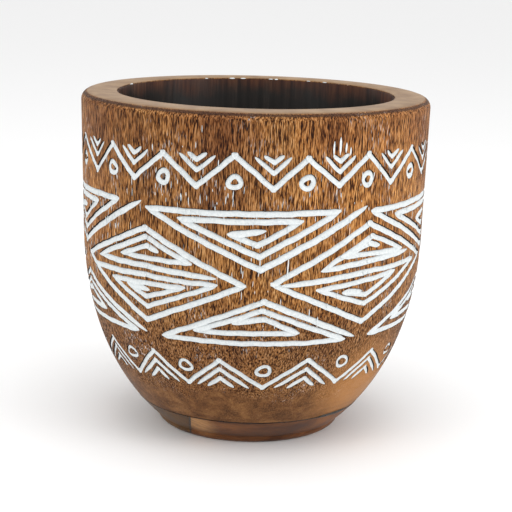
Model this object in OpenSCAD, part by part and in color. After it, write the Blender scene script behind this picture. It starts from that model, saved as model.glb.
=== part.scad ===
// Carved palm-wood bowl: a turned and hollowed trunk section, closed underneath by a disc of
// two glued boards, with a tribal pattern cut into its wall and filled with white paint.
// Millimetres, +Z up, origin at the middle of the underside. The front faces -Y.

/* [Body] */
// Outside diameter at the rim
rim_d = 200; // [165:1:245]
// Overall height
body_h = 194; // [160:1:235]
// Height where the upright wall turns into the curved belly
belly_z = 122; // [100:1:145]
// How much the wall narrows, in radius, from the rim down to the belly
wall_flare = 1.5; // [0:0.1:6]
// Radius that the belly would have at the underside, before the edge is rounded
foot_r = 49; // [40:1:60]
// Fullness of the belly: 2 is an ellipse, more is squarer
belly_power = 2.2; // [1.8:0.05:2.8]
// Radius of the rounded outer rim
rim_round = 5; // [2:0.5:8]
// Radius of the rounded edge under the base
foot_round = 4; // [1:0.5:6]

/* [Hollow] */
// Diameter of the mouth, inside the lining
mouth_d = 158; // [120:1:195]
// Diameter of the flat floor, inside the lining
floor_d = 94; // [70:1:105]
// Height where the straight mouth wall starts to curve in towards the floor
hollow_z = 100; // [80:1:130]
// Thickness of the dark lining coat
coat_t = 0.5; // [0.3:0.1:1.5]
// Bevel at the inner edge of the rim
mouth_bevel = 1; // [0.5:0.1:2]

/* [Base] */
// Thickness of the glued boards that close the bottom
board_t = 16; // [10:0.5:20]
// Thickness of the glue between the trunk section and the boards
seam_t = 0.8; // [0.4:0.1:2]
// Width of the glued joint between the two boards
joint_w = 1; // [0.5:0.1:2]
// Distance of that joint from the middle
joint_x = 32; // [20:1:38]

/* [Carving] */
// Depth of a full groove
groove_d = 1.5; // [0.8:0.1:2.5]
// Width of the lines in the two borders
border_line_w = 2.6; // [1.5:0.1:3]
// Width of the lines in the middle field
field_line_w = 2.6; // [1.5:0.1:2.7]
// How far the paint stays below the wood
paint_drop = 0.4; // [0.2:0.05:0.6]
// Height of the upper border
upper_h = 19.5; // [15:0.5:24]
// Height of the lower border
lower_h = 20; // [15:0.5:24]
// Radius of the small rings, to the middle of their line
ring_r = 3.1; // [2.6:0.1:3.6]
// Plain wood between the rim and the upper border
rim_margin = 21; // [14:1:30]
// Plain wood between a border and the field
field_gap = 9.5; // [5:0.5:16]
// Plain wood between the glue seam and the lower border
foot_margin = 23.5; // [16:1:30]

/* [Hidden] */

rim_r = rim_d / 2;
belly_r = rim_r - wall_flare;
mouth_r = mouth_d / 2;
floor_r = floor_d / 2;
seam_z = board_t + seam_t;
profile_step = 10;     // height of one facet of a turned profile
round_step = 15;       // angle of one facet of a rounded edge
over = 1;              // how far a cutting solid runs past what it cuts

// Heights of the three carved bands. The field takes what the borders and margins leave.
upper_top = body_h - rim_margin;
upper_z = upper_top - upper_h;
lower_z = seam_z + foot_margin;
field_bottom = lower_z + lower_h + field_gap;
field_half = (upper_z - field_gap - field_bottom) / 2;
field_mid = field_bottom + field_half;

// Sweep of the grooves
max_piece = 12;        // longest straight piece of a groove
mitre_room = 1.05;     // room left beyond a mitre before the next section
mitre_limit = 1.6;     // longest corner, in half widths
end_size = 0.5;        // size of a groove where the gouge comes out
cut_lift = 0.3;        // height of the cutting section above the wood
paint_break = 0.015;   // share of a zigzag's leg left bare where two strokes of paint meet
ring_sides = 12;       // straight pieces in a ring

// Where the carver set each repeat out, in degrees round from the front
upper_valleys = [-60, -40, -17.5, 6, 27, 48, 71, 94, 116.5, 139, 162, 184.5, 207, 230, 253, 276.5];
lower_peaks = [-60, -36, -10.5, 21, 50, 78, 105, 132, 160, 188, 216, 244, 272];
triangle_centres = [2, 77, 147, 217, 287];

// Lines of each motif as [percent of half a repeat, percent of the band]
zigzag = [8, 89];
upper_chevrons = [[[-50, 92], [0, 50], [50, 92]], [[-25, 97], [0, 78], [28, 97]]];
upper_ring_y = 24;
lower_zigzag = [10, 91];
lower_chevrons = [[[-72, 9], [0, 65], [68, 7]], [[-40, 7], [0, 37], [32, 8]]];
lower_ring_y = 72;
upper_triangle = [[88, 99], [1, 17], [-82, 89], [55, 93], [3, 37], [-53, 79], [24, 81], [0, 52],
                  [-16, 64], [4, 69]];
lower_triangle = [[91, -99], [8, -32], [-75, -90], [69, -98], [8, -46], [-43, -78], [28, -78],
                  [7, -61], [-11, -68]];
diamond_edges = [[[-79, -2], [0, 60], [75, -9], [-1, -76]], [[-73, -4], [0, 71], [85, 5], [1, -68]]];
diamond_tops = [[[56, -3], [-56, 4], [0, 46], [36, 16], [-21, 17], [-3, 32], [11, 26]],
                [[67, 8], [14, 18], [-44, 12], [3, 57], [38, 30], [-19, 24], [1, 42], [14, 38]]];
diamond_bottoms = [[[-64, -5], [-4, -9], [57, -13], [1, -56], [-35, -21], [21, -20], [0, -38], [-14, -30]],
                   [[-61, -3], [1, 6], [64, -1], [0, -51], [-43, -18], [32, -9], [0, -30], [-20, -25]]];

// Height of the belly curve's full swing, so that it comes down to foot_r at the underside
belly_swing = belly_z / pow(1 - pow(foot_r / belly_r, 2), 1 / belly_power);
hollow_swing = (hollow_z - seam_z) / pow(1 - pow(floor_r / mouth_r, 2), 1 / belly_power);

// Outside radius at a height: a superellipse below belly_z, a straight flare above it
function outer_r(z) = z < belly_z
    ? belly_r * sqrt(1 - pow((belly_z - z) / belly_swing, belly_power))
    : belly_r + wall_flare * (z - belly_z) / (body_h - rim_round - belly_z);

// Radius of the hollow inside the lining at a height
function hollow_r(z) = z < hollow_z
    ? mouth_r * sqrt(1 - pow((hollow_z - z) / hollow_swing, belly_power)) : mouth_r;

// Heights from one to another in even steps
function steps(from, to, step) = let (n = ceil(abs(to - from) / step))
    [for (i = [0:n]) from + (to - from) * i / n];

// Points down the hollow's wall from the bevel to the floor, set back by the coat's thickness
function hollow_wall(back) =
    concat([[mouth_r + back, body_h - mouth_bevel]],
           [for (z = steps(hollow_z, seam_z, profile_step)) [hollow_r(z) + back, z]]);

// Points of the outside from the seam up to the flat of the rim
function outer_wall() =
    concat([for (z = steps(seam_z, belly_z, profile_step)) [outer_r(z), z]],
           [for (a = [0:round_step:90])
               [rim_r - rim_round * (1 - cos(a)), body_h - rim_round * (1 - sin(a))]]);

// A point of the outside, with its height changed along the outward normal
function normal_at(a, z) = let (slope = outer_r(z + 0.5) - outer_r(z - 0.5), n = [sin(a), -cos(a), -slope])
    n / norm(n);
function surface_at(p) = [outer_r(p[1]) * sin(p[0]), -outer_r(p[1]) * cos(p[0]), p[1]];

// Length of a leg taken up by the mitre at one of its corners
function mitre_length(p, corner, q, w) =
    let (u = unit(surface_at(p) - surface_at(corner)), v = unit(surface_at(q) - surface_at(corner)))
    w / 2 * (1 + cut_lift / groove_d) * sqrt((1 + u * v) / (1 - u * v)) * mitre_room;

// A path of [angle, height] points with its long legs divided, clear of the mitres
function divided(path, w, closed) = let (n = len(path), last = closed ? n - 1 : n - 2)
    [for (i = [0:last])
        let (p = path[i], q = path[(i + 1) % n], length = norm(surface_at(q) - surface_at(p)),
             m = max(1, ceil(length / max_piece)),
             from = !closed && i == 0 ? 0 : mitre_length(path[(i + n - 1) % n], p, q, w),
             to = length - (!closed && i == last ? 0 : mitre_length(p, q, path[(i + 2) % n], w)))
        for (k = [0:m - 1]) p + (q - p) * (k == 0 ? 0 : min(max(length * k / m, from), to) / length)];

function unit(v) = v / norm(v);

// One section of a groove, [left, right, bottom], scaled by size and topped at a lift above the wood.
// Its inner corner is fully mitred and its outer corner is cut short at mitre_limit.
function section(p, before, after, w, size, lift) =
    let (n = normal_at(p[0], p[1]), at = surface_at(p),
         left_in = unit(cross(n, at - before)), left_out = unit(cross(n, after - at)),
         sum = left_in + left_out, inner = 2 / norm(sum), outer = min(mitre_limit, inner),
         turns_left = cross(left_in, left_out) * n > 0,
         side = unit(sum) * w / 2 * (size + lift / groove_d))
    [at + n * lift + side * (turns_left ? inner : outer),
     at + n * lift - side * (turns_left ? outer : inner),
     at - n * groove_d * size];

// A V groove, or the paint in one, swept along a path of [angle, height] points
module stroke(path, w, lift, closed = false, from = undef, to = undef) {
    last_point = path[len(path) - 1];
    mids = divided(path, w, closed);
    points = closed ? mids : concat(mids, [last_point]);
    n = len(points);
    at = [for (p = points) surface_at(p)];
    sections = [for (i = [0:n - 1])
        let (first = !closed && i == 0, last = !closed && i == n - 1,
             before = first ? (is_undef(from) ? 2 * at[0] - at[1] : surface_at(from)) : at[(i + n - 1) % n],
             after = last ? (is_undef(to) ? 2 * at[n - 1] - at[n - 2] : surface_at(to)) : at[(i + 1) % n],
             tip = first && is_undef(from) || last && is_undef(to))
        section(points[i], before, after, w, tip ? end_size : 1, lift)];
    rings = closed ? n : n - 1;
    sides = [for (i = [0:rings - 1], k = [0:2], half = [0, 1]) let (j = (i + 1) % n, m = (k + 1) % 3)
        half == 0 ? [3 * j + k, 3 * j + m, 3 * i + m] : [3 * j + k, 3 * i + m, 3 * i + k]];
    ends = closed ? [] : [[0, 1, 2], [3 * n - 3, 3 * n - 1, 3 * n - 2]];
    polyhedron(points = [for (s = sections, p = s) p], faces = concat(sides, ends));
}

// Angle of a motif's point, between the repeat's neighbours on its two sides
function place(x, left, centre, right) =
    centre + (x < 0 ? (centre - left) / 2 : (right - centre) / 2) * x / 100;

// The repeat before and after the i-th of a list that goes once round
function before(list, i) = i > 0 ? list[i - 1] : list[len(list) - 1] - 360;
function after(list, i) = i < len(list) - 1 ? list[i + 1] : list[0] + 360;
function laid(shape, list, i, z0, height) =
    [for (p = shape) [place(p[0], before(list, i), list[i], after(list, i)), z0 + height * p[1] / 100]];

// A zigzag right round, as one V at each listed angle whose ends meet halfway to the next.
// Its paint is left open by a hair where two of them meet.
module zigzag_line(list, at_list, between, z0, height, lift) {
    z1 = z0 + height * at_list / 100;
    z2 = z0 + height * between / 100;
    bare = lift > 0 ? 0 : paint_break;
    for (i = [0:len(list) - 1]) {
        corner = [list[i], z1];
        left = [(before(list, i) + list[i]) / 2, z2];
        right = [(list[i] + after(list, i)) / 2, z2];
        stroke([left + (corner - left) * bare, corner, right + (corner - right) * bare],
            border_line_w, lift, from = [before(list, i), z1], to = [after(list, i), z1]);
    }
}

// Rings halfway between the listed angles
module ring_lines(list, z, lift) {
    slope = normal_at(0, z)[1];
    for (i = [0:len(list) - 1])
        stroke([for (k = [0:ring_sides - 1]) let (t = -k * 360 / ring_sides)
            [(list[i] + after(list, i)) / 2 + asin(ring_r * cos(t) / outer_r(z)),
             z - slope * ring_r * sin(t)]],
            border_line_w, lift, closed = true);
}

module chevron_lines(shapes, list, z0, height, lift) {
    for (i = [0:len(list) - 1], shape = shapes)
        stroke(laid(shape, list, i, z0, height), border_line_w, lift);
}

module upper_zigzag_lines(lift) {
    zigzag_line(upper_valleys, zigzag[0], zigzag[1], upper_z, upper_h, lift);
}

module upper_chevron_lines(lift) {
    chevron_lines(upper_chevrons, upper_valleys, upper_z, upper_h, lift);
}

module upper_ring_lines(lift) {
    ring_lines(upper_valleys, upper_z + upper_h * upper_ring_y / 100, lift);
}

module lower_zigzag_lines(lift) {
    zigzag_line(lower_peaks, lower_zigzag[1], lower_zigzag[0], lower_z, lower_h, lift);
}

module lower_chevron_lines(lift) {
    chevron_lines(lower_chevrons, lower_peaks, lower_z, lower_h, lift);
}

module lower_ring_lines(lift) {
    ring_lines(lower_peaks, lower_z + lower_h * lower_ring_y / 100, lift);
}

// One spiral triangle on each triangle centre
module triangle_lines(shape, lift) {
    for (i = [0:len(triangle_centres) - 1])
        stroke(laid(shape, triangle_centres, i, field_mid, field_half), field_line_w, lift);
}

// One diamond between each two triangles: its edge, and a spiral in its upper and lower half
module diamond_lines(lift) {
    list = [for (i = [0:len(triangle_centres) - 1]) (triangle_centres[i] + after(triangle_centres, i)) / 2];
    for (i = [0:len(list) - 1]) {
        hand = (i + 1) % len(list) % 2;
        stroke(laid(diamond_edges[hand], list, i, field_mid, field_half), field_line_w, lift, closed = true);
        for (inner = [diamond_tops[hand], diamond_bottoms[hand]])
            stroke(laid(inner, list, i, field_mid, field_half), field_line_w, lift);
    }
}

// The trunk section: turned outside, hollowed, and carved
module shell() {
    color("peru") difference() {
        rotate_extrude($fn = 180)
            polygon(concat(outer_wall(), [[mouth_r + coat_t + mouth_bevel, body_h]], hollow_wall(coat_t)));
        upper_zigzag_lines(cut_lift);
        upper_chevron_lines(cut_lift);
        upper_ring_lines(cut_lift);
        triangle_lines(upper_triangle, cut_lift);
        diamond_lines(cut_lift);
        triangle_lines(lower_triangle, cut_lift);
        lower_ring_lines(cut_lift);
        lower_zigzag_lines(cut_lift);
        lower_chevron_lines(cut_lift);
    }
}

// The whole base disc, with its underside's edge rounded
module base_disc() {
    side = [for (z = steps(foot_round, board_t, profile_step)) [outer_r(z), z]];
    edge = [for (a = [90:-round_step:round_step])
        [outer_r(foot_round) - foot_round * (1 - cos(a)), foot_round * (1 - sin(a))]];
    rotate_extrude($fn = 180)
        polygon(concat([[0, 0]], edge, side, [[0, board_t]]));
}

// A slab of the base disc between two distances across it
module across(from, to) {
    translate([from, -rim_d / 2, -over]) cube([to - from, rim_d, board_t + 2 * over]);
}

module base_board_wide() {
    color("saddlebrown") intersection() {
        base_disc();
        across(-joint_x, rim_r);
    }
}

module base_board_narrow() {
    color("sienna") intersection() {
        base_disc();
        across(-rim_r, -joint_x - joint_w);
    }
}

module board_joint_glue() {
    color("black") intersection() {
        base_disc();
        across(-joint_x - joint_w, -joint_x);
    }
}

// The glue ring under the trunk section
module seam_glue() {
    color("dimgray") rotate_extrude($fn = 180)
        polygon([[floor_r + coat_t, board_t], [outer_r(board_t), board_t],
                 [outer_r(seam_z), seam_z], [floor_r + coat_t, seam_z]]);
}

// The dark coat over the inside wall and the floor
module lining_coat() {
    color("maroon") rotate_extrude($fn = 180)
        polygon(concat([[0, board_t], [floor_r + coat_t, board_t]],
                       [for (i = [len(hollow_wall(coat_t)) - 1:-1:0]) hollow_wall(coat_t)[i]],
                       hollow_wall(0), [[0, seam_z]]));
}

module painted() {
    color("white") children();
}

shell();
base_board_wide();
base_board_narrow();
board_joint_glue();
seam_glue();
lining_coat();
painted() upper_zigzag_lines(-paint_drop);  // paint_upper_zigzag
painted() upper_chevron_lines(-paint_drop);  // paint_upper_chevrons
painted() upper_ring_lines(-paint_drop);  // paint_upper_rings
painted() triangle_lines(upper_triangle, -paint_drop);  // paint_upper_triangles
painted() diamond_lines(-paint_drop);  // paint_diamonds
painted() triangle_lines(lower_triangle, -paint_drop);  // paint_lower_triangles
painted() lower_ring_lines(-paint_drop);  // paint_lower_rings
painted() lower_zigzag_lines(-paint_drop);  // paint_lower_zigzag
painted() lower_chevron_lines(-paint_drop);  // paint_lower_chevrons
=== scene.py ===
import math

import bpy
import numpy as np
from mathutils import Matrix, Vector


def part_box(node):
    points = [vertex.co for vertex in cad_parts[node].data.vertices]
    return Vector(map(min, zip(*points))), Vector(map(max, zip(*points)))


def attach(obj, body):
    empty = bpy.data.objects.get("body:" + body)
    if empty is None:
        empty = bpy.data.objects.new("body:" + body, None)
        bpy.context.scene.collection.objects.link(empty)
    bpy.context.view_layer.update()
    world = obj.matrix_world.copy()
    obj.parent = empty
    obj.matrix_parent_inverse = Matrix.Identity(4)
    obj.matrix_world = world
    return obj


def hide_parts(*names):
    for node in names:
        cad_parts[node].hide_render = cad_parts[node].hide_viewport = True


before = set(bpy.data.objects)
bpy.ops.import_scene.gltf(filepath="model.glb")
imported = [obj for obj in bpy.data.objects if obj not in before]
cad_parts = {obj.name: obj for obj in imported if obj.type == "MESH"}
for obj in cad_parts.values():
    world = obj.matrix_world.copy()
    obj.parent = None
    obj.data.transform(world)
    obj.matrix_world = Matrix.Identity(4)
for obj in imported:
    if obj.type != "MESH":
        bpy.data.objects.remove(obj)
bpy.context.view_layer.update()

MM = 0.001

# ---------------------------------------------------------------- sizes, in metres

body_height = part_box("shell")[1].z
rim_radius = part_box("shell")[1].x
board_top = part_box("seam_glue")[0].z
seam_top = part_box("seam_glue")[1].z
belly_height = 122 * MM
wall_flare = 1.5 * MM
foot_radius = 49 * MM
belly_power = 2.2
rim_round = 5 * MM
foot_round = 4 * MM
mouth_radius = 79 * MM
floor_radius = 47 * MM
hollow_height = 100 * MM
coat_thickness = 0.5 * MM
mouth_bevel = 1 * MM
joint_place = -32 * MM
joint_width = 1 * MM

groove_depth = 1.4 * MM
paint_film = 0.05 * MM
coat_gap = 0.02 * MM
beyond_disc = 0.12
trunk_columns, coat_columns, base_columns = 300, 192, 240
border_line = 3.5 * MM
chevron_line = 2.6 * MM
field_line = 3.8 * MM

belly_radius = rim_radius - wall_flare
belly_swing = belly_height / (1 - (foot_radius / belly_radius) ** 2) ** (1 / belly_power)
hollow_swing = (hollow_height - seam_top) / (1 - (floor_radius / mouth_radius) ** 2) ** (1 / belly_power)

# ---------------------------------------------------------------- turned shapes


def wall_radius(z):
    """Outside radius: a superellipse from the foot up to the belly line, then a straight flare to the rim."""
    below = np.clip((belly_height - z) / belly_swing, 0, 0.999)
    above = np.clip((z - belly_height) / (body_height - rim_round - belly_height), 0, 1)
    return belly_radius * np.sqrt(1 - below ** belly_power) + wall_flare * above


def hollow_radius(z):
    """Inside radius: a straight mouth down to hollow_height, then the same kind of curve in to the floor."""
    below = np.clip((hollow_height - z) / hollow_swing, 0, 0.999)
    return mouth_radius * np.sqrt(1 - below ** belly_power)


def spread(start, end, step):
    """Values from start to end in even steps of about the given size."""
    return np.linspace(start, end, max(2, int(math.ceil(abs(end - start) / step)) + 1))


def put_mesh(name, points, faces):
    """A mesh object from an array of points and one or more arrays of faces, each with one number of corners."""
    groups = [np.asarray(f, np.int32) for f in (faces if isinstance(faces, list) else [faces])]
    mesh = bpy.data.meshes.new(name)
    mesh.vertices.add(len(points))
    mesh.vertices.foreach_set("co", np.asarray(points, np.float32).ravel())
    corners = np.concatenate([g.ravel() for g in groups])
    counts = np.concatenate([np.full(len(g), g.shape[1]) for g in groups])
    mesh.loops.add(len(corners))
    mesh.loops.foreach_set("vertex_index", corners.astype(np.int32))
    mesh.polygons.add(len(counts))
    mesh.polygons.foreach_set("loop_start", (np.cumsum(counts) - counts).astype(np.int32))
    mesh.update(calc_edges=True)
    piece = bpy.data.objects.new(name, mesh)
    bpy.context.scene.collection.objects.link(piece)
    return piece


def turned(name, profile, columns, hollow=False):
    """A solid of revolution: the profile's (radius, height) points carried round the axis in equal turns.
    A hollow one closes its profile on itself; a full one starts and ends on the axis, in a pole."""
    profile = np.asarray(profile, float)
    if not hollow:
        poles, profile = profile[[0, -1]], profile[1:-1]
    rows = len(profile)
    turn = np.linspace(0, 2 * np.pi, columns, endpoint=False)[:, None]
    points = np.stack([profile[:, 0] * np.sin(turn), -profile[:, 0] * np.cos(turn),
                       profile[:, 1] + 0 * turn], -1).reshape(-1, 3)
    c, r = np.meshgrid(np.arange(columns), np.arange(rows if hollow else rows - 1), indexing="ij")
    c2, r2 = (c + 1) % columns, (r + 1) % rows
    quads = np.stack([c * rows + r, c2 * rows + r, c2 * rows + r2, c * rows + r2], -1).reshape(-1, 4)
    if hollow:
        return put_mesh(name, points, quads)
    points = np.vstack([points, [[0, 0, poles[0, 1]], [0, 0, poles[1, 1]]]])
    c = np.arange(columns)
    c2 = (c + 1) % columns
    low = np.stack([c2 * rows, c * rows, np.full(columns, columns * rows)], -1)
    high = np.stack([c * rows + rows - 1, c2 * rows + rows - 1, np.full(columns, columns * rows + 1)], -1)
    return put_mesh(name, points, [quads, np.vstack([low, high])])


def rounded(centre_r, centre_z, radius, start, end, count):
    """Points of an arc, with its angles in degrees from straight outwards."""
    angle = np.radians(np.linspace(start, end, count))
    return np.stack([centre_r + radius * np.cos(angle), centre_z + radius * np.sin(angle)], -1)


def along_wall(radius_of, heights, grow=0.0):
    """Profile points at the given heights on a wall."""
    return np.stack([radius_of(heights) + grow, heights], -1)


# ---------------------------------------------------------------- the carved pattern

# Where each repeat sits, in degrees round from the front
upper_valleys = [-60, -40, -17.5, 6, 27, 48, 71, 94, 116.5, 139, 162, 184.5, 207, 230, 253, 276.5]
lower_peaks = [-60, -36, -10.5, 21, 50, 78, 105, 132, 160, 188, 216, 244, 272]
triangle_places = [2, 77, 147, 217, 287]

upper_base, upper_height = 153.5, 19.5
lower_base, lower_height = 40.3, 20
field_middle, field_half = 106.9, 37.1

# Lines of each motif: [percent of half a repeat, percent of the band]
upper_chevrons = [[[-50, 92], [0, 50], [50, 92]], [[-25, 97], [0, 78], [28, 97]]]
lower_chevrons = [[[-72, 9], [0, 65], [68, 7]], [[-40, 7], [0, 37], [32, 8]]]
upper_triangle = [[96, 99], [2, 13], [-94, 89], [64, 93], [1, 32], [-63, 79], [31, 81], [-1, 48],
                  [-20, 62], [6, 69]]
lower_triangle = [[96, -99], [6, -34], [-82, -98], [80, -99], [5, -48], [-50, -83], [33, -82],
                  [7, -61], [-21, -69]]
diamond_edges = [[[-86, -3], [0, 60], [86, -12], [-2, -79]], [[-85, -8], [0, 73], [93, 2], [1, -76]]]
diamond_tops = [[[-66, 1], [0, 47], [40, 17], [-25, 17], [2, 34], [14, 26]],
                [[-46, 10], [4, 54], [44, 27], [-24, 29], [2, 43], [14, 38]]]
diamond_bases = [[[-66, 2], [0, 4], [66, -3]], [[-47, 9], [2, 17], [60, 20]]]
diamond_bottoms = [[[-78, -15], [-2, -10], [62, -14], [0, -58], [-39, -26], [34, -22], [-1, -43], [-18, -30],
                    [4, -32]],
                   [[-80, -11], [-2, 1], [70, 1], [1, -48], [-45, -20], [34, -8], [1, -34], [-20, -27],
                    [-4, -27]]]


def next_to(places, i, side):
    """Angle of the repeat after (side 1) or before (side -1) the i-th."""
    j = i + side
    return places[j % len(places)] + 360 * (j // len(places))


def laid(shape, places, i, base, height):
    """A motif's points as (degrees, millimetres), stretched between its two neighbours."""
    shape = np.asarray(shape, float)
    left = (places[i] - next_to(places, i, -1)) / 2
    right = (next_to(places, i, 1) - places[i]) / 2
    x = np.where(shape[:, 0] < 0, shape[:, 0] * left, shape[:, 0] * right) / 100
    return np.stack([places[i] + x, base + height * shape[:, 1] / 100], -1)


def wall_point(path):
    """Point and outward normal of the wall at (degrees, millimetres) rows."""
    a, z = np.radians(path[:, 0]), path[:, 1] * MM
    r = wall_radius(z)
    slope = (wall_radius(z + 0.2 * MM) - wall_radius(z - 0.2 * MM)) / (0.4 * MM)
    point = np.stack([r * np.sin(a), -r * np.cos(a), z], -1)
    normal = np.stack([np.sin(a), -np.cos(a), -slope], -1)
    return point, normal / np.linalg.norm(normal, axis=1)[:, None]


def waver(s, size, waves, seed):
    """Smooth unevenness along a length: sines of the given wavelengths in millimetres, with seeded phases."""
    rng = np.random.default_rng(seed)
    out = np.zeros_like(s)
    for wave in waves:
        out += rng.uniform(0.5, 1) * np.sin(2 * np.pi * (s / wave + rng.uniform()))
    return size * out / len(waves) ** 0.5


class Cut:
    """One pull of the gouge: its points on the wall, the wall's normal and the sideways direction there,
    and its width at each point."""

    def __init__(self, path, width, seed, closed=False, start_taper=None, end_taper=None):
        point, normal = wall_point(path)
        steps = np.linalg.norm(np.diff(point, axis=0), axis=1)
        self.s = np.concatenate([[0], np.cumsum(steps)]) / MM
        self.closed = closed
        if closed:
            tangent = np.roll(point, -1, 0) - np.roll(point, 1, 0)
        else:
            tangent = np.gradient(point, axis=0)
        tangent /= np.linalg.norm(tangent, axis=1)[:, None]
        side = np.cross(normal, tangent)
        side /= np.linalg.norm(side, axis=1)[:, None]
        size = np.ones(len(point))
        if not closed:
            point = point + side * waver(self.s, 0.22 * MM, (11, 19, 37), seed)[:, None]
            total = self.s[-1]
            for along, taper in ((self.s, start_taper), (total - self.s, end_taper)):
                part = np.clip(along / taper, 0.012, 1)
                size = np.minimum(size, np.sqrt(2 * part - part ** 2))
        size = size * (1 + waver(self.s if not closed else 0 * self.s, 0.05, (4, 9, 23), seed + 1))
        self.point, self.normal, self.side = point, normal, side
        self.half = width / 2 * size
        self.size = np.minimum(size, 1)
        self.seed = seed


def pull(start, end, width, seed, start_point=0.0, end_point=0.0, start_open=False, end_open=False):
    """A straight pull between two corners. A closed end is a half ellipse that runs past its corner: a half
    circle in a blunt corner, and longer and more pointed, by start_point or end_point from 0 to 1, in a sharp
    one. An open end thins out over a longer stretch, and the pull swells a little before it."""
    ends, _ = wall_point(np.array([start, end], float))
    length = np.linalg.norm(ends[1] - ends[0])
    share = width / length
    t0 = 0 if start_open else -(0.5 - 0.2 * start_point) * share
    t1 = 1 + (0 if end_open else (0.5 - 0.2 * end_point) * share)
    near_end = np.array([0, 0.04, 0.14, 0.3, 0.55]) * share
    middle = np.linspace(t0 + share, t1 - share, max(2, int(length / (1.9 * MM)) - 1))
    t = np.concatenate([t0 + near_end, middle, t1 - near_end[::-1]])[:, None]
    thin = min(0.45 * length / MM, 16)
    half = width / 2 / MM
    swell = 1.12 if start_open or end_open else 1.0
    return Cut(np.array(start) * (1 - t) + np.array(end) * t, width * swell, seed,
               start_taper=thin if start_open else half * (1 + 2.4 * start_point),
               end_taper=thin if end_open else half * (1 + 2.4 * end_point))


def pulls(path, width, seed, closed=False, open_ends=True):
    """The separate pulls that make up a line with corners. The sharper a corner is, the further its point is
    drawn out, away from the bisector of its two sides, and the more the pulls' ends narrow towards it."""
    path = np.asarray(path, float)
    n = len(path)
    last = n if closed else n - 1
    round_mm = np.radians(wall_radius(path[:, 1] * MM)) / MM
    flat = np.stack([path[:, 0] * round_mm.mean(), path[:, 1]], -1)
    sharp, tips = np.zeros(n), path.copy()
    for i in range(0 if closed else 1, n if closed else n - 1):
        back, on = flat[i - 1] - flat[i], flat[(i + 1) % n] - flat[i]
        back, on = back / np.linalg.norm(back), on / np.linalg.norm(on)
        angle = np.degrees(np.arccos(np.clip(back @ on, -1, 1)))
        sharp[i] = np.clip((80 - angle) / 45, 0, 1)
        away = -(back + on) / max(np.linalg.norm(back + on), 0.1) * 0.7 * sharp[i] * width / MM
        tips[i] += away / [round_mm[i], 1]
    return [pull(tips[i], tips[(i + 1) % n], width, seed + 17 * i, sharp[i], sharp[(i + 1) % n],
                 start_open=open_ends and not closed and i == 0,
                 end_open=open_ends and not closed and i == last - 1) for i in range(last)]


def ring(place, height, radius, width, seed, squash=1.0):
    """A small hand-cut ring: a circle on the wall with a seeded unevenness."""
    t = np.linspace(0, 2 * np.pi, 22, endpoint=False)
    rng = np.random.default_rng(seed)
    r = radius * (1 + 0.08 * np.sin(2 * t + rng.uniform(0, 6)) + 0.06 * np.sin(3 * t + rng.uniform(0, 6)))
    across = np.degrees(r * np.cos(t) * squash / (wall_radius(height * MM) / MM))
    return Cut(np.stack([place + across, height + r * np.sin(t)], -1), width, seed, closed=True)


def zigzag(places, low, high, turns_low, width, seed):
    """The pulls of a zigzag: corners at each place and halfway between, a little uneven, closed right round."""
    path = []
    rng = np.random.default_rng(seed)
    for i, place in enumerate(places):
        half = (place + next_to(places, i, 1)) / 2
        path += [[place, (low if turns_low else high) + rng.uniform(-0.8, 0.8)],
                 [half, (high if turns_low else low) + rng.uniform(-0.8, 0.8)]]
    path.append([path[0][0] + 360, path[0][1]])
    return pulls(path, width, seed, open_ends=False)


def each(places, shapes, base, height, width, seed, **how):
    """A motif cut at every place."""
    return [cut for i in range(len(places)) for k, shape in enumerate(shapes(i))
            for cut in pulls(laid(shape, places, i, base, height), width, seed + 1000 * i + 100 * k, **how)]


def between(places, i):
    """Angle halfway from the i-th repeat to the next."""
    return (places[i] + next_to(places, i, 1)) / 2


diamond_places = [between(triangle_places, i) for i in range(len(triangle_places))]
hands = [(i + 1) % len(diamond_places) % 2 for i in range(len(diamond_places))]
upper_ring_heights = [158.6, 158.2, 158, 158, 158.4, 159, 160.5, 159, 158, 158.5, 159, 158, 158.6, 159,
                      158.5, 158.6]
lower_ring_heights = [54, 53.5, 53, 55.5, 54, 54, 53, 54.5, 54, 53, 54, 55, 54]

line_sets = {
    "paint_upper_zigzag": zigzag(upper_valleys, upper_base + 1.8, upper_base + 18, True, border_line, 11),
    "paint_upper_chevrons": each(upper_valleys, lambda i: upper_chevrons, upper_base, upper_height,
                                 chevron_line, 2000),
    "paint_upper_rings": [ring(between(upper_valleys, i), upper_ring_heights[i], 3.1, 3.4 * MM, 3000 + i)
                          for i in range(len(upper_valleys))],
    "paint_upper_triangles": each(triangle_places, lambda i: [upper_triangle], field_middle, field_half,
                                  field_line, 40000),
    "paint_lower_triangles": each(triangle_places, lambda i: [lower_triangle], field_middle, field_half,
                                  field_line * 0.93, 50000),
    "paint_diamonds": (
        each(diamond_places, lambda i: [diamond_edges[hands[i]]], field_middle, field_half, field_line, 60000,
             closed=True)
        + each(diamond_places, lambda i: [diamond_tops[hands[i]], diamond_bases[hands[i]],
                                          diamond_bottoms[hands[i]]],
               field_middle, field_half, field_line * 0.88, 70000)),
    "paint_lower_rings": [ring(between(lower_peaks, i), lower_ring_heights[i], 2.9, 2.3 * MM, 8000 + i, 1.25)
                          for i in range(len(lower_peaks))],
    "paint_lower_zigzag": zigzag(lower_peaks, lower_base + 2, lower_base + 18.4, False,
                                 border_line * 0.86, 9000),
    "paint_lower_chevrons": each(lower_peaks, lambda i: lower_chevrons, lower_base, lower_height,
                                 chevron_line, 10000),
}


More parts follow.
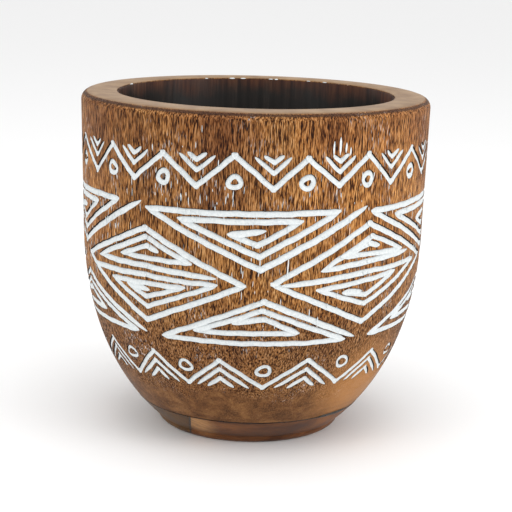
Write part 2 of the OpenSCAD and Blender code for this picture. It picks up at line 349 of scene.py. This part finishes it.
def swept(cuts, section):
    """Closed solids carried along each cut: section(cut) gives an array of points by section by
    (sideways, outwards) offsets, and the ends are capped."""
    points, quads, caps, start = [], [], [], 0
    for cut in cuts:
        offsets = section(cut)
        n, k = offsets.shape[:2]
        solid = (cut.point[:, None] + cut.side[:, None] * offsets[..., :1]
                 + cut.normal[:, None] * offsets[..., 1:])
        points.append(solid.reshape(-1, 3))
        i, j = np.meshgrid(np.arange(n if cut.closed else n - 1), np.arange(k), indexing="ij")
        i2, j2 = (i + 1) % n, (j + 1) % k
        quads.append(start + np.stack([i * k + j, i * k + j2, i2 * k + j2, i2 * k + j], -1).reshape(-1, 4))
        if not cut.closed:
            ring_of = np.arange(k)
            caps += [start + ring_of[::-1], start + (n - 1) * k + ring_of]
        start += n * k
    faces = [np.vstack(quads)] + ([np.array(caps)] if caps else [])
    return np.vstack(points), faces


def groove_section(cut):
    """A gouge's cut: steep walls that round over into a narrow bottom, open well above the wood."""
    half, depth = cut.half, groove_depth * cut.size ** 0.7
    lift = np.full_like(half, 0.5 * MM)
    across = np.stack([-half, -0.86 * half, -0.45 * half, 0.45 * half, 0.86 * half, half], -1)
    out = np.stack([lift, -0.55 * depth, -depth, -depth, -0.55 * depth, lift], -1)
    return np.stack([across, out], -1)


def paint_section(cut):
    """Dried paint in a groove: its top sags to the middle. It runs down off the groove's upper edge, which is
    left bare, and creeps up the lower one, and here and there over it, by its own seeded unevenness."""
    half, depth = cut.half, groove_depth * cut.size ** 0.7
    lean = np.clip(cut.side[:, 2] * 3, -1, 1)
    edges = []
    for e, upper in ((0, lean), (1, -lean)):
        bare = np.clip(0.5 + 0.5 * upper, 0, 1)
        over = np.clip(waver(cut.s, 0.5, (2.3, 3.7, 7.1), cut.seed + 5 + e) - 0.25 - 0.5 * bare, 0, 1)
        level = -(0.2 + 0.5 * bare) * depth + waver(cut.s, 0.12 * MM, (2.9, 5.3), cut.seed + 7 + e)
        y = (1 - over) * level + over * paint_film
        x = (1 - over) * half * (0.93 - 0.2 * bare) + over * (half + 0.3 * MM)
        edges.append((x, np.minimum(y, paint_film)))
    sag = -0.42 * depth
    across = np.stack([edges[0][0], 0.5 * half, -0.5 * half, -edges[1][0], -0.4 * half, 0.4 * half], -1)
    out = np.stack([edges[0][1], sag, sag, edges[1][1], -0.97 * depth, -0.97 * depth], -1)
    return np.stack([across, out], -1)


def fleck_section(cut):
    """A thin smear of paint that lies on the wood: a low pad, flat underneath."""
    half, low = cut.half, np.full_like(cut.half, -0.25 * MM)
    across = np.stack([half, 0.5 * half, -0.5 * half, -half, -0.6 * half, 0.6 * half], -1)
    out = np.stack([0.02 * MM + 0 * half, 0.07 * MM * cut.size, 0.07 * MM * cut.size, 0.02 * MM + 0 * half,
                    low, low], -1)
    return np.stack([across, out], -1)


def sets_apart(cuts, room=0.7):
    """Splits cuts into sets in which none touches another, so that each set can be taken away in one go."""
    samples = [c.point[np.linspace(0, len(c.point) - 1, 14).astype(int)] / MM for c in cuts]
    wide = [c.half.max() / MM for c in cuts]
    middle = np.array([s.mean(0) for s in samples])
    reach = np.array([np.linalg.norm(s - s.mean(0), axis=1).max() for s in samples])
    groups = []
    for i, cut in enumerate(cuts):
        for group in groups:
            close = [j for j in group if np.linalg.norm(middle[i] - middle[j]) < reach[i] + reach[j] + 5]
            clash = any(np.linalg.norm(cuts[i].point[:, None] - cuts[j].point[None], axis=-1).min() / MM
                        < wide[i] + wide[j] + room for j in close)
            if not clash:
                group.append(i)
                break
        else:
            groups.append([i])
    return [[cuts[i] for i in group] for group in groups]


def boolean(piece, tool, operation):
    """Applies one boolean to a piece's mesh, and removes the tool."""
    step = piece.modifiers.new("cut", "BOOLEAN")
    step.operation, step.solver, step.object = operation, "MANIFOLD", tool
    made = bpy.data.meshes.new_from_object(piece.evaluated_get(bpy.context.evaluated_depsgraph_get()))
    piece.modifiers.clear()
    piece.data = made
    bpy.data.objects.remove(tool)


def smooth(piece, corner=28):
    """Smooth shading with sharp edges where faces meet at more than a corner's angle."""
    mesh = piece.data
    mesh.shade_smooth()
    mesh.set_sharp_from_angle(angle=math.radians(corner))


def finish_piece(piece, material, slot, *stands_for):
    """Gives a piece its finish, and says which body and solids it belongs to. The slot is not used."""
    piece.data.materials.clear()
    piece.data.materials.append(material)
    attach(piece, "root")
    if stands_for:
        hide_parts(*stands_for)
    return piece


# ---------------------------------------------------------------- finishes


def finish(name):
    """An empty material with its shader and output, and a helper that adds linked nodes."""
    material = bpy.data.materials.new(name)
    material.use_nodes = True
    tree = material.node_tree
    shader = tree.nodes["Principled BSDF"]

    def add(kind, inputs=None, **settings):
        node = tree.nodes.new("ShaderNode" + kind)
        for key, value in settings.items():
            setattr(node, key, value)
        for key, value in (inputs or {}).items():
            if isinstance(value, bpy.types.NodeSocket):
                tree.links.new(value, node.inputs[key])
            else:
                node.inputs[key].default_value = value
        return node

    return material, shader, add, tree.links.new


def ramp(add, value, stops):
    """A colour ramp with the given (place, colour) stops; a single number is a grey."""
    node = add("ValToRGB", {"Fac": value})
    bar = node.color_ramp
    while len(bar.elements) < len(stops):
        bar.elements.new(0.5)
    for element, (place, colour) in zip(bar.elements, stops):
        element.position = place
        element.color = (*(colour if isinstance(colour, tuple) else (colour,) * 3), 1)
    return node.outputs["Color"]


def tint(add, factor, first, second, blend="MIX"):
    """Mixes two colours, or lays one on the other, by a factor."""
    node = add("Mix", data_type="RGBA", blend_type=blend)
    links = node.id_data.links
    for place, value in ((0, factor), (6, first), (7, second)):
        if isinstance(value, bpy.types.NodeSocket):
            links.new(value, node.inputs[place])
        else:
            node.inputs[place].default_value = value if place == 0 else (*value, 1)
    return node.outputs[2]


def sums(add, operation, a, b=0.5):
    """One step of arithmetic on two numbers."""
    return add("Math", {0: a, 1: b}, operation=operation).outputs[0]


def stretched(add, across, along):
    """Object coordinates in millimetres, squeezed differently across and along the upright fibres."""
    coords = add("TexCoord").outputs["Object"]
    return add("VectorMath", {0: coords, 1: (1000 * across, 1000 * across, 1000 * along)},
               operation="MULTIPLY").outputs[0]


def noise(add, vector, scale, detail=2.0, rough=0.5, twist=0.0):
    """Uneven values from 0 to 1 that wander about 0.5."""
    return add("TexNoise", {"Vector": vector, "Scale": scale, "Detail": detail, "Roughness": rough,
                            "Distortion": twist}).outputs["Fac"]


def band(add, height, low, high, soft):
    """1 between two heights in millimetres and 0 outside, with soft edges."""
    up = add("MapRange", {"Value": height, "From Min": low - soft, "From Max": low + soft},
             interpolation_type="SMOOTHSTEP").outputs[0]
    down = add("MapRange", {"Value": height, "From Min": high - soft, "From Max": high + soft,
                            "To Min": 1.0, "To Max": 0.0}, interpolation_type="SMOOTHSTEP").outputs[0]
    return sums(add, "MULTIPLY", up, down)


def wall_depth(add, place):
    """How far a point lies inside the wall's turned surface, in millimetres: the same curve as wall_radius."""
    below = sums(add, "DIVIDE", sums(add, "SUBTRACT", belly_height / MM, place.outputs["Z"]), belly_swing / MM)
    below = sums(add, "MINIMUM", sums(add, "MAXIMUM", below, 0.0), 0.999)
    curve = sums(add, "SQRT", sums(add, "SUBTRACT", 1.0, sums(add, "POWER", below, belly_power)))
    above = add("MapRange", {"Value": place.outputs["Z"], "From Min": belly_height / MM,
                             "From Max": (body_height - rim_round) / MM, "To Max": wall_flare / MM}).outputs[0]
    surface = sums(add, "ADD", sums(add, "MULTIPLY", curve, belly_radius / MM), above)
    flat = add("CombineXYZ", {0: place.outputs["X"], 1: place.outputs["Y"]}).outputs[0]
    return sums(add, "SUBTRACT", surface, add("VectorMath", {0: flat}, operation="LENGTH").outputs["Value"])


def near(add, vector, middle, size):
    """1 at a point, in millimetres, and fading smoothly to 0 at a distance."""
    gap = add("VectorMath", {0: vector, 1: middle}, operation="DISTANCE").outputs["Value"]
    return add("MapRange", {"Value": gap, "From Min": 0.25 * size, "From Max": size, "To Min": 1.0,
                            "To Max": 0.0}, interpolation_type="SMOOTHSTEP").outputs[0]


def palm_wood():
    """Oiled palm trunk: upright dark fibres that show as short dashes on the wall and as dots where the
    wall turns under, with a turned and sanded rim and foot that are smoother and plainer, and painted
    shade that darkens the gouge cuts."""
    material, shader, add, link = finish("oiled palm wood")
    coords = add("VectorMath", {0: add("TexCoord").outputs["Object"], "Scale": 1000.0},
                 operation="SCALE").outputs[0]
    place = add("SeparateXYZ", {0: coords})
    height = place.outputs["Z"]
    top = body_height / MM
    fine = noise(add, stretched(add, 1.0, 0.10), 1.85, 2.0, 0.6, 0.3)
    coarse = noise(add, stretched(add, 1.0, 0.05), 0.9, 2.0, 0.5, 0.2)
    hair = noise(add, stretched(add, 1.0, 0.07), 3.4, 1.0, 0.6)
    patches = noise(add, stretched(add, 1.0, 0.5), 0.03, 4.0, 0.6)
    warmth = noise(add, stretched(add, 1.0, 0.12), 0.12, 3.0, 0.6)
    fibres = sums(add, "ADD", sums(add, "MULTIPLY", fine, 0.6),
                  sums(add, "ADD", sums(add, "MULTIPLY", hair, 0.22), sums(add, "MULTIPLY", coarse, 0.18)))
    wood = ramp(add, fibres, [(0.425, (0.020, 0.006, 0.001)), (0.462, (0.095, 0.030, 0.006)),
                              (0.492, (0.26, 0.108, 0.026)), (0.535, (0.43, 0.20, 0.056)),
                              (0.59, (0.62, 0.35, 0.145))])
    wood = tint(add, 1.0, wood, ramp(add, patches, [(0.36, (0.68, 0.60, 0.54)), (0.47, (0.92, 0.88, 0.84)),
                                                    (0.58, (1.0, 1.0, 1.0))]), "MULTIPLY")
    fair_side = sums(add, "MAXIMUM", near(add, coords, (72.0, -62.0, 150.0), 88.0),
                     near(add, coords, (-92.0, -35.0, 135.0), 55.0))
    wood = tint(add, sums(add, "MULTIPLY", fair_side, 0.55), wood, (1.5, 1.42, 1.3), "MULTIPLY")
    dull_side = near(add, coords, (-22.0, -96.0, 158.0), 52.0)
    wood = tint(add, sums(add, "MULTIPLY", dull_side, 0.6), wood, (0.72, 0.66, 0.74), "MULTIPLY")
    wood = tint(add, 0.6, wood, ramp(add, warmth, [(0.38, (0.74, 0.66, 0.62)), (0.5, (1.0, 0.96, 0.9)),
                                                   (0.64, (1.0, 0.86, 0.62))]), "MULTIPLY")
    # the wood near the rim is a purplish brown, and the wall is darker and bluer towards the bottom, below the
    # belly
    under_rim = sums(add, "MULTIPLY", band(add, height, 171.0, 200.0, 9.0),
                     ramp(add, patches, [(0.4, 1.0), (0.62, 0.25)]))
    wood = tint(add, sums(add, "MULTIPLY", under_rim, 0.6), wood, (0.66, 0.54, 0.56), "MULTIPLY")
    belly = add("MapRange", {"Value": height, "From Min": 62.0, "From Max": 104.0, "To Min": 1.0, "To Max": 0.0},
                interpolation_type="SMOOTHSTEP").outputs[0]
    wood = tint(add, sums(add, "MULTIPLY", belly, 0.85), wood, (0.62, 0.60, 0.70), "MULTIPLY")
    # turned foot: plainer and browner, with only a trace of the fibres
    ragged = sums(add, "MULTIPLY", sums(add, "SUBTRACT", noise(add, stretched(add, 1, 1), 0.07, 4.0), 0.5), 34.0)
    foot = add("MapRange", {"Value": sums(add, "ADD", height, ragged), "From Min": 31.0, "From Max": 43.0,
                            "To Min": 1.0, "To Max": 0.0}, interpolation_type="SMOOTHSTEP").outputs[0]
    foot_wood = ramp(add, noise(add, stretched(add, 1.0, 1.3), 0.11, 4.0, 0.6, 0.4),
                     [(0.34, (0.070, 0.026, 0.007)), (0.5, (0.145, 0.058, 0.017)), (0.64, (0.25, 0.115, 0.038))])
    wood = tint(add, sums(add, "MULTIPLY", foot, 0.75), wood, foot_wood)
    fair = near(add, coords, (64.0, -50.0, 36.0), 42.0)
    wood = tint(add, sums(add, "MULTIPLY", fair, 0.75), wood, (0.50, 0.225, 0.068))
    # painted shade: the wood in the gouge cuts is darkened to near black, standing in for the shade inside the
    # grooves and along their bare upper walls
    depth = wall_depth(add, place)
    cut = sums(add, "MULTIPLY",
               add("MapRange", {"Value": depth, "From Min": 0.02, "From Max": 0.12}).outputs[0],
               add("MapRange", {"Value": height, "From Min": top - 8.0, "From Max": top - 7.0, "To Min": 1.0,
                                "To Max": 0.0}).outputs[0])
    wood = tint(add, sums(add, "MULTIPLY", cut, 0.97), wood, (0.012, 0.006, 0.004))
    # sanded rim: smooth and paler, with a fine dark line where the fibres start
    rim = add("MapRange", {"Value": height, "From Min": top - 0.55, "From Max": top - 0.2},
              interpolation_type="SMOOTHSTEP").outputs[0]
    rim_wood = ramp(add, noise(add, stretched(add, 0.6, 0.6), 0.13, 4.0, 0.6, 0.4),
                    [(0.3, (0.20, 0.108, 0.045)), (0.5, (0.28, 0.165, 0.078)), (0.72, (0.36, 0.225, 0.115))])
    rim_line = band(add, sums(add, "ADD", height, sums(add, "MULTIPLY", ragged, 0.03)), top - 1.9,
                    top - 0.6, 0.35)
    wood = tint(add, sums(add, "MULTIPLY", rim_line, 0.8), wood, (0.045, 0.02, 0.012))
    wood = tint(add, rim, wood, rim_wood)
    # white paint left in the pores after wiping
    smear = noise(add, stretched(add, 1.0, 0.5), 0.05, 4.0, 0.65)
    dots = noise(add, stretched(add, 1.0, 0.14), 1.6, 1.0, 0.5)
    left = sums(add, "MULTIPLY",
                add("MapRange", {"Value": smear, "From Min": 0.53, "From Max": 0.68}).outputs[0],
                add("MapRange", {"Value": dots, "From Min": 0.6, "From Max": 0.7}).outputs[0])
    bare = sums(add, "SUBTRACT", 1.0, sums(add, "MAXIMUM", rim, sums(add, "MAXIMUM", foot, cut)))
    wood = tint(add, sums(add, "MULTIPLY", left, bare), wood, (0.72, 0.70, 0.69))
    link(wood, shader.inputs["Base Color"])
    plain = sums(add, "MAXIMUM", rim, sums(add, "MULTIPLY", foot, 0.9))
    gloss = add("MapRange", {"Value": fibres, "From Min": 0.4, "From Max": 0.6, "To Min": 0.7,
                             "To Max": 0.45}).outputs[0]
    rough = sums(add, "ADD", sums(add, "MULTIPLY", gloss, sums(add, "SUBTRACT", 1.0, plain)),
                 sums(add, "MULTIPLY", plain, 0.42))
    link(rough, shader.inputs["Roughness"])
    relief = sums(add, "MULTIPLY", fibres, sums(add, "SUBTRACT", 1.0, sums(add, "MULTIPLY", plain, 0.92)))
    link(add("Bump", {"Height": relief, "Strength": 0.7, "Distance": 0.0014}).outputs[0],
         shader.inputs["Normal"])
    shader.inputs["Specular IOR Level"].default_value = 0.14
    return material


def paint():
    """Matt white filler paint: faint brush strokes, and pinholes and thin places where wood shows."""
    material, shader, add, link = finish("white filler paint")
    brush = noise(add, stretched(add, 1.0, 1.0), 0.7, 4.0, 0.65)
    colour = ramp(add, brush, [(0.3, (0.62, 0.67, 0.69)), (0.5, (0.73, 0.77, 0.78)), (0.7, (0.82, 0.85, 0.84))])
    pits = noise(add, stretched(add, 1.0, 0.3), 1.5, 2.0, 0.7)
    worn = add("MapRange", {"Value": pits, "From Min": 0.70, "From Max": 0.75}).outputs[0]
    colour = tint(add, sums(add, "MULTIPLY", worn, 0.8), colour, (0.10, 0.05, 0.025))
    link(colour, shader.inputs["Base Color"])
    link(ramp(add, brush, [(0.3, 0.62), (0.7, 0.45)]), shader.inputs["Roughness"])
    link(add("Bump", {"Height": brush, "Strength": 0.25, "Distance": 0.0005}).outputs[0],
         shader.inputs["Normal"])
    return material


def lining():
    """Dark glossy sealing coat, redder near the lip and near black lower down, with faint upright runs."""
    material, shader, add, link = finish("dark sealing coat")
    coords = add("TexCoord").outputs["Object"]
    height = add("SeparateXYZ", {0: add("VectorMath", {0: coords, "Scale": 1000.0},
                                        operation="SCALE").outputs[0]}).outputs["Z"]
    runs = noise(add, stretched(add, 1.0, 0.06), 0.3, 4.0, 0.6)
    clouds = noise(add, stretched(add, 1.0, 1.0), 0.05, 3.0, 0.6)
    near_lip = add("MapRange", {"Value": sums(add, "ADD", height, sums(add, "MULTIPLY", clouds, 22.0)),
                                "From Min": 192.0, "From Max": 208.0}, interpolation_type="SMOOTHSTEP").outputs[0]
    dark = ramp(add, runs, [(0.35, (0.008, 0.0065, 0.0055)), (0.58, (0.014, 0.011, 0.0095)),
                            (0.75, (0.030, 0.023, 0.019))])
    red = ramp(add, runs, [(0.35, (0.035, 0.010, 0.006)), (0.55, (0.085, 0.028, 0.012)),
                           (0.75, (0.15, 0.06, 0.025))])
    link(tint(add, near_lip, dark, red), shader.inputs["Base Color"])
    link(ramp(add, clouds, [(0.3, 0.28), (0.7, 0.5)]), shader.inputs["Roughness"])
    link(add("Bump", {"Height": runs, "Strength": 0.3, "Distance": 0.0012}).outputs[0],
         shader.inputs["Normal"])
    shader.inputs["Specular IOR Level"].default_value = 0.22
    return material


def base_wood(name, dark, middle, light, turn, fair_end=None):
    """Smooth oiled hardwood board: long grain along one direction, fine pores, and slow bands of colour.
    A fair end is a paler patch of sapwood round one point."""
    material, shader, add, link = finish(name)
    coords = add("TexCoord").outputs["Object"]
    grain_space = add("Mapping", {"Vector": coords, "Rotation": (0, 0, turn),
                                  "Scale": (140, 1000, 1000)}).outputs[0]
    bands = noise(add, grain_space, 0.10, 4.0, 0.55, 0.6)
    pores = noise(add, grain_space, 1.3, 3.0, 0.6)
    colour = ramp(add, bands, [(0.34, dark), (0.5, middle), (0.68, light)])
    if fair_end:
        millimetres = add("VectorMath", {0: coords, "Scale": 1000.0}, operation="SCALE").outputs[0]
        fair = sums(add, "MULTIPLY", near(add, millimetres, fair_end, 15.0),
                    add("MapRange", {"Value": bands, "From Min": 0.3, "From Max": 0.5}).outputs[0])
        colour = tint(add, fair, colour, (0.50, 0.26, 0.10))
    colour = tint(add, 0.4, colour, ramp(add, pores, [(0.38, 0.35), (0.5, 1.0)]), "MULTIPLY")
    link(colour, shader.inputs["Base Color"])
    link(ramp(add, bands, [(0.3, 0.32), (0.7, 0.46)]), shader.inputs["Roughness"])
    link(add("Bump", {"Height": pores, "Strength": 0.15, "Distance": 0.0005}).outputs[0],
         shader.inputs["Normal"])
    shader.inputs["Specular IOR Level"].default_value = 0.25
    return material


def black_glue():
    """Dried black glue: glossy and lumpy, browner on its highest lumps."""
    material, shader, add, link = finish("dried black glue")
    lumps = noise(add, stretched(add, 1.0, 1.0), 0.5, 4.0, 0.6)
    link(ramp(add, lumps, [(0.35, (0.010, 0.008, 0.006)), (0.62, (0.025, 0.018, 0.013)),
                           (0.8, (0.09, 0.06, 0.04))]), shader.inputs["Base Color"])
    link(ramp(add, lumps, [(0.3, 0.22), (0.7, 0.5)]), shader.inputs["Roughness"])
    link(add("Bump", {"Height": lumps, "Strength": 0.5, "Distance": 0.001}).outputs[0], shader.inputs["Normal"])
    return material


palm_finish, paint_finish, lining_finish, glue_finish = palm_wood(), paint(), lining(), black_glue()
wide_board_finish = base_wood("red hardwood", (0.075, 0.024, 0.006), (0.145, 0.050, 0.014),
                              (0.26, 0.10, 0.03), 1.45, (-29.0, -58.0, 8.0))
narrow_board_finish = base_wood("brown hardwood", (0.065, 0.028, 0.007), (0.12, 0.054, 0.014),
                                (0.19, 0.09, 0.028), 1.57)

# ---------------------------------------------------------------- the trunk section

outside = along_wall(wall_radius, spread(seam_top, body_height - rim_round, 3.6 * MM))
shoulder = rounded(rim_radius - rim_round, body_height - rim_round, rim_round, 0, 90, 8)[1:]
lip = [[mouth_radius + coat_thickness + mouth_bevel, body_height],
       [mouth_radius + coat_thickness + 0.3 * mouth_bevel, body_height - 0.3 * mouth_bevel],
       [mouth_radius + coat_thickness, body_height - mouth_bevel]]
inside = along_wall(hollow_radius, spread(hollow_height, seam_top, 7 * MM), coat_thickness)
trunk = turned("carved_trunk_section", np.vstack([outside, shoulder, lip, inside]), trunk_columns,
               hollow=True)
every_cut = [cut for cuts in line_sets.values() for cut in cuts]
for group in sets_apart(every_cut):
    boolean(trunk, put_mesh("gouge", *swept(group, groove_section)), "DIFFERENCE")
smooth(trunk)
finish_piece(trunk, palm_finish, "palm_wood", "shell")

for node, cuts in line_sets.items():
    filled = put_mesh(node + "_fill", *swept(cuts, paint_section))
    smooth(filled, 50)
    finish_piece(filled, paint_finish, "paint", node)


def upright(place, low, high, width, seed):
    """A thin upright trail of paint on the wall that narrows at both ends."""
    path = np.stack([np.full(5, place), np.linspace(low, high, 5)], -1)
    length = high - low
    return Cut(path, width, seed, start_taper=0.5 * length, end_taper=0.35 * length)


def pore_flecks():
    """Paint left in the open pores: upright dashes scattered in seeded clusters, thickest high on the wall."""
    rng = np.random.default_rng(21)
    middles = [(-14, 147, 26), (2, 106, 12), (-50, 126, 20), (-24, 168, 10), (-34, 148, 16), (34, 146, 16),
               (60, 132, 10), (20, 88, 9), (-2, 128, 14)]
    middles += [(rng.uniform(75, 290), rng.uniform(88, 175), rng.integers(8, 22)) for _ in range(14)]
    trails = []
    for place, height, count in middles:
        for _ in range(count):
            low = height + rng.normal(0, 9)
            trails.append(upright(place + rng.normal(0, 8), low, low + rng.uniform(0.8, 5.0),
                                  rng.uniform(0.25, 0.5) * MM, int(rng.integers(1, 9999))))
    return trails


flecks = put_mesh("pore_flecks", *swept(pore_flecks(), fleck_section))
smooth(flecks, 60)
finish_piece(flecks, paint_finish, "paint")

runs_down = [upright(24.5, 171.5, 179.5, 1.0 * MM, 1), upright(26.6, 172, 181.5, 1.3 * MM, 2),
             upright(28.6, 173, 178.5, 1.1 * MM, 3), upright(30.3, 171.5, 176, 0.9 * MM, 4),
             upright(11.2, 106, 118.5, 0.6 * MM, 5), upright(140, 150, 160, 1.0 * MM, 6),
             upright(252, 108, 119, 0.8 * MM, 7)]
drips = put_mesh("paint_drips", *swept(runs_down, fleck_section))
smooth(drips, 60)
finish_piece(drips, paint_finish, "paint")


class Chip:
    """A flake on the lip's inner edge: a short arc whose width swells and fades by a seeded curve."""

    def __init__(self, place, length, width, seed):
        turn = np.radians(place) + np.linspace(-0.5, 0.5, 9) * length * MM / mouth_radius
        t = np.linspace(-1, 1, 9)
        r, z = mouth_radius + coat_thickness + 0.15 * MM, body_height - 0.45 * MM
        self.point = np.stack([r * np.sin(turn), -r * np.cos(turn), z + 0 * turn], -1)
        self.normal = np.stack([-np.sin(turn), np.cos(turn), 1 + 0 * turn], -1) / 2 ** 0.5
        tangent = np.stack([np.cos(turn), np.sin(turn), 0 * turn], -1)
        self.side = np.cross(self.normal, tangent)
        self.size = np.sqrt(np.clip(1.02 - t ** 2, 0.03, 1))
        self.half = width * MM / 2 * self.size * (1 + waver(t * 4, 0.25, (1.7, 3.1), seed))
        self.closed, self.seed, self.s = False, seed, t


rng = np.random.default_rng(8)
chip_places = ([148, 156, 171, 173.5, 186, 191, 203] + list(rng.uniform(210, 330, 5))
               + list(rng.uniform(20, 140, 4)))
chips = put_mesh("lip_chips", *swept([Chip(a, rng.uniform(1.5, 4.5), rng.uniform(0.4, 0.95), 60 + i)
                                      for i, a in enumerate(chip_places)], fleck_section))
smooth(chips, 60)
finish_piece(chips, paint_finish, "paint")

# ---------------------------------------------------------------- lining and base

coat_out = along_wall(hollow_radius, spread(seam_top, hollow_height, 5 * MM), coat_thickness - coat_gap)
coat_in = along_wall(hollow_radius, spread(hollow_height, seam_top + 0.05 * MM, 5 * MM))
coat = turned("sealing_coat", np.vstack([
    [[0, board_top + 0.01 * MM]], [[floor_radius * f, board_top + 0.01 * MM] for f in (0.4, 0.8, 1.0)],
    coat_out, [[mouth_radius + coat_thickness - coat_gap, body_height - mouth_bevel],
               [mouth_radius + 0.3 * coat_thickness, body_height - 0.8 * mouth_bevel],
               [mouth_radius, body_height - 1.3 * mouth_bevel]],
    coat_in, [[floor_radius * f, seam_top] for f in (0.97, 0.8, 0.4)], [[0, seam_top]]]), coat_columns)
smooth(coat, 40)
finish_piece(coat, lining_finish, "lining", "lining_coat")


def disc_profile():
    """The base disc: a flat underside, a rounded edge and the foot's curve up to the seam."""
    corner = wall_radius(foot_round) - foot_round
    return np.vstack([[[0, 0]], [[corner * 0.5, 0]], rounded(corner, foot_round, foot_round, -90, 0, 7)[:-1],
                      along_wall(wall_radius, spread(foot_round, board_top, 2 * MM)),
                      [[wall_radius(board_top) * 0.6, board_top], [0, board_top]]])


def slab(low, high):
    """An upright slab across the disc between two distances, as eight corners."""
    x, y, z = np.meshgrid([low, high], [-beyond_disc, beyond_disc], [-0.01, 0.05], indexing="ij")
    corners = np.stack([x, y, z], -1).reshape(-1, 3)
    return put_mesh("slab", corners, np.array([[0, 1, 3, 2], [4, 6, 7, 5], [0, 4, 5, 1], [2, 3, 7, 6],
                                               [0, 2, 6, 4], [1, 5, 7, 3]]))


def board(name, low, high, material, slot, node):
    """The part of the base disc that lies between two distances across it."""
    piece = turned(name, disc_profile(), base_columns)
    boolean(piece, slab(low, high), "INTERSECT")
    smooth(piece)
    return finish_piece(piece, material, slot, node)


board("wide_base_board", joint_place, beyond_disc, wide_board_finish, "base_wood", "base_board_wide")
board("narrow_base_board", -beyond_disc, joint_place - joint_width, narrow_board_finish,
      "base_wood_dark", "base_board_narrow")
board("board_joint_filler", joint_place - joint_width, joint_place, glue_finish, "glue", "board_joint_glue")


def seam_bead():
    """The glue in the seam: a closed ring whose outer edge is squeezed out unevenly. Its height and bulge
    follow seeded waves round the ring, and swell to a thick fillet on the front right."""
    columns, rows = 720, 14
    turn = np.linspace(0, 2 * np.pi, columns, endpoint=False)
    around = np.degrees((turn + np.pi) % (2 * np.pi) - np.pi)
    rng = np.random.default_rng(5)
    wave = sum(rng.uniform(0.4, 1) * np.sin(n * turn + rng.uniform(0, 6.3)) for n in (3, 7, 16, 29, 47)) / 2.2
    swell = np.exp(-((around - 47) / 15) ** 2)
    half = (0.5 + 0.14 * wave + 1.0 * swell * (1 + 0.3 * wave)) * MM
    bulge = (0.15 + 0.10 * wave + 0.75 * swell * (1 + 0.2 * wave)) * MM
    middle = (board_top + seam_top) / 2 + 0.25 * MM * swell
    section = np.linspace(0, 2 * np.pi, rows, endpoint=False)
    z = middle[:, None] + half[:, None] * np.sin(section)
    r = wall_radius(z) - 2.4 * MM + (2.4 * MM + bulge[:, None]) * np.cos(section)
    points = np.stack([r * np.sin(turn)[:, None], -r * np.cos(turn)[:, None], z], -1).reshape(-1, 3)
    c, k = np.meshgrid(np.arange(columns), np.arange(rows), indexing="ij")
    c2, k2 = (c + 1) % columns, (k + 1) % rows
    return put_mesh("seam_glue_bead", points,
                    np.stack([c * rows + k, c2 * rows + k, c2 * rows + k2, c * rows + k2], -1).reshape(-1, 4))


bead = seam_bead()
smooth(bead, 60)
finish_piece(bead, glue_finish, "glue", "seam_glue")

# ---------------------------------------------------------------- floor, light and camera

floor_mesh = bpy.data.meshes.new("floor")
floor_mesh.from_pydata([(-6, -6, 0), (6, -6, 0), (6, 6, 0), (-6, 6, 0)], [], [(0, 1, 2, 3)])
floor = bpy.data.objects.new("floor", floor_mesh)
bpy.context.scene.collection.objects.link(floor)
floor_finish, floor_shader, _, _ = finish("pale floor")
floor_shader.inputs["Base Color"].default_value = (0.95, 0.95, 0.95, 1)
floor_shader.inputs["Roughness"].default_value = 0.9
floor_mesh.materials.append(floor_finish)

world = bpy.data.worlds.new("studio")
bpy.context.scene.world = world
world.use_nodes = True
world.node_tree.nodes["Background"].inputs["Color"].default_value = (1, 1, 1, 1)
world.node_tree.nodes["Background"].inputs["Strength"].default_value = 0.92
bpy.context.scene.view_settings.view_transform = "Standard"


def soft_light(name, where, towards, size, power):
    """A large square lamp turned to face a point."""
    lamp = bpy.data.lights.new(name, "AREA")
    lamp.size, lamp.energy = size, power
    holder = bpy.data.objects.new(name, lamp)
    bpy.context.scene.collection.objects.link(holder)
    holder.location = where
    holder.rotation_euler = (Vector(towards) - Vector(where)).to_track_quat("-Z", "Y").to_euler()
    return holder


soft_light("overhead", (0.0, -0.3, 1.6), (0, 0, 0.1), 1.0, 6)
soft_light("front_left", (-1.3, -0.9, 0.9), (0, 0, 0.1), 0.8, 4)
soft_light("front_right", (1.4, -0.7, 0.8), (0, 0, 0.1), 0.8, 7)

lens_length, sideways_shift = 104.4, 0.0083
camera_back, camera_height = 0.8543, 0.2877
looking_down, turned_aside = 12.57, 1.54
camera = bpy.data.objects.new("camera", bpy.data.cameras.new("camera"))
bpy.context.scene.collection.objects.link(camera)
camera.data.lens = lens_length
camera.data.sensor_width = 36
camera.data.shift_x = sideways_shift
camera.data.clip_start, camera.data.clip_end = 0.05, 20
camera.location = (0, -camera_back, camera_height)
camera.rotation_euler = (Matrix.Rotation(math.radians(90 - looking_down), 3, "X")
                         @ Matrix.Rotation(math.radians(turned_aside), 3, "Z")).to_euler()
bpy.context.scene.camera = camera
